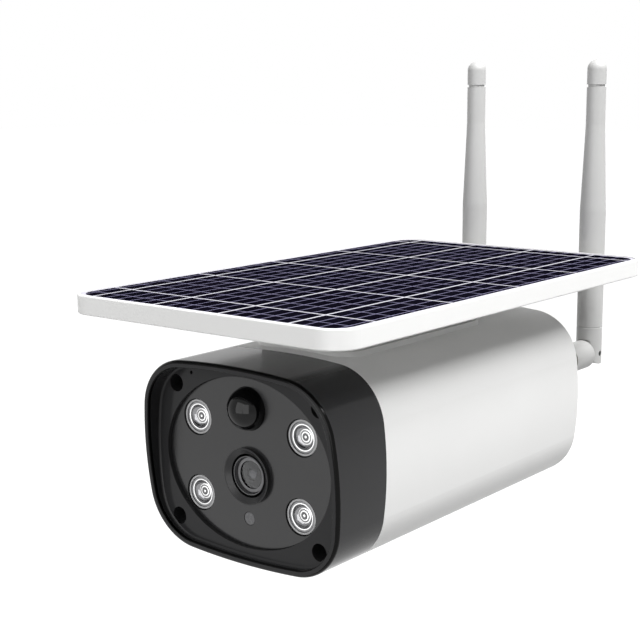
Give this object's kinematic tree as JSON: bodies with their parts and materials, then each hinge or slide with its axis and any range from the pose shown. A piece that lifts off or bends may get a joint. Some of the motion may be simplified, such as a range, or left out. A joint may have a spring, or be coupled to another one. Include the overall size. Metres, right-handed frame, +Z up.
{
  "type": "solar security camera",
  "caption": "Bullet-shaped outdoor security camera with a black hood, lamps round its lens, a solar panel on a low pedestal above it and swivelling whip antennas behind.",
  "frame": {"origin": "mouth of the tripod socket, in the middle of the underside", "axes": "+Z up out of the socket's depth, -Y the way the camera looks, +X to the right seen from the front"},
  "size_m": [0.111, 0.204, 0.158],
  "materials": {
    "white_abs": "moulded, fine satin texture",
    "black_abs": "moulded, satin",
    "window_polycarbonate": "smoked, polished",
    "clear_polycarbonate": "clear, polished",
    "black_anodised": "black anodised",
    "optical_glass": "coated and polished",
    "pir_polyethylene": "moulded, glossy",
    "sensor_resin": "cast epoxy",
    "antenna_plastic": "moulded, satin",
    "black_steel": "blackened",
    "brass": "turned",
    "steel": "nickel plated",
    "nickel": "rolled strip",
    "circuit_board": "solder mask on glass-epoxy",
    "chip_resin": "moulded epoxy",
    "lamp_phosphor": "cast silicone with phosphor",
    "black_nylon": "moulded, matt",
    "cell_sleeve": null,
    "rubber": "moulded silicone",
    "lead_sheath": "extruded",
    "grey_abs": "moulded, satin",
    "solar_silicon": "laminated under clear resin",
    "backsheet_film": "laminated film"
  },
  "bodies": {
    "camera": {"antenna_jacks": "brass", "battery_cells": "cell_sleeve", "board_parts": "chip_resin", "board_screws": "steel", "board_spacers": "brass", "camera_board": "circuit_board", "card_socket": "steel", "cell_links": "nickel", "chassis": "black_nylon", "chassis_screws": "steel", "flap_pin": "steel", "front_cover": "black_abs", "front_gasket": "rubber", "front_screws": "steel", "front_window": "window_polycarbonate", "image_sensor": "chip_resin", "io_board": "circuit_board", "jack_collars": "white_abs", "jack_nuts": "brass", "led_board": "circuit_board", "led_lenses": "clear_polycarbonate", "leds": "lamp_phosphor", "lens_barrel": "black_anodised", "lens_bezel": "black_abs", "lens_elements": "optical_glass", "lens_holder": "black_nylon", "light_sensor": "sensor_resin", "main_board": "circuit_board", "main_housing": "white_abs", "microphone": "chip_resin", "panel_backsheet": "backsheet_film", "panel_frame": "white_abs", "panel_lead": "lead_sheath", "panel_screws": "steel", "panel_shoe": "white_abs", "pir_lens": "pir_polyethylene", "pir_sensor": "steel", "shoe_screws": "steel", "solar_cells": "solar_silicon", "tact_switches": "chip_resin", "tripod_insert": "brass", "usb_port": "steel"},
    "power_button": {"power_button": "grey_abs"},
    "reset_button": {"reset_button": "grey_abs"},
    "service_flap": {"service_flap": "white_abs", "flap_seal": "rubber"},
    "antenna_base_left": {"antenna_base_left": "antenna_plastic"},
    "antenna_whip_left": {"antenna_fork_left": "antenna_plastic", "antenna_whip_left": "antenna_plastic", "antenna_tip_left": "antenna_plastic", "antenna_element_left": "brass", "antenna_pin_left": "black_steel"},
    "antenna_base_right": {"antenna_base_right": "antenna_plastic"},
    "antenna_whip_right": {"antenna_fork_right": "antenna_plastic", "antenna_whip_right": "antenna_plastic", "antenna_tip_right": "antenna_plastic", "antenna_element_right": "brass", "antenna_pin_right": "black_steel"}
  },
  "joints": [
    {"name": "antenna_swivel_left", "type": "hinge", "parent": "camera", "child": "antenna_base_left", "pos_m": [-0.0272, 0.0881, 0.043], "axis": [0, -1, 0], "range_deg": [-10, 180]},
    {"name": "antenna_tilt_left", "type": "hinge", "parent": "antenna_base_left", "child": "antenna_whip_left", "pos_m": [-0.0272, 0.1075, 0.043], "axis": [-1, 0, 0], "range_deg": [0, 90]},
    {"name": "antenna_swivel_right", "type": "hinge", "parent": "camera", "child": "antenna_base_right", "pos_m": [0.0272, 0.0881, 0.043], "axis": [0, 1, 0], "range_deg": [-10, 180]},
    {"name": "antenna_tilt_right", "type": "hinge", "parent": "antenna_base_right", "child": "antenna_whip_right", "pos_m": [0.0272, 0.1075, 0.043], "axis": [-1, 0, 0], "range_deg": [0, 90]},
    {"name": "flap_hinge", "type": "hinge", "parent": "camera", "child": "service_flap", "pos_m": [0, -0.0184, 0.0019], "axis": [1, 0, 0], "range_deg": [0, 95]},
    {"name": "power_press", "type": "slide", "parent": "camera", "child": "power_button", "axis": [0, 0, 1], "range_m": [0, 0.0007], "stiffness_N_per_m": 1200},
    {"name": "reset_press", "type": "slide", "parent": "camera", "child": "reset_button", "axis": [0, 0, 1], "range_m": [0, 0.0007], "stiffness_N_per_m": 1200}
  ]
}
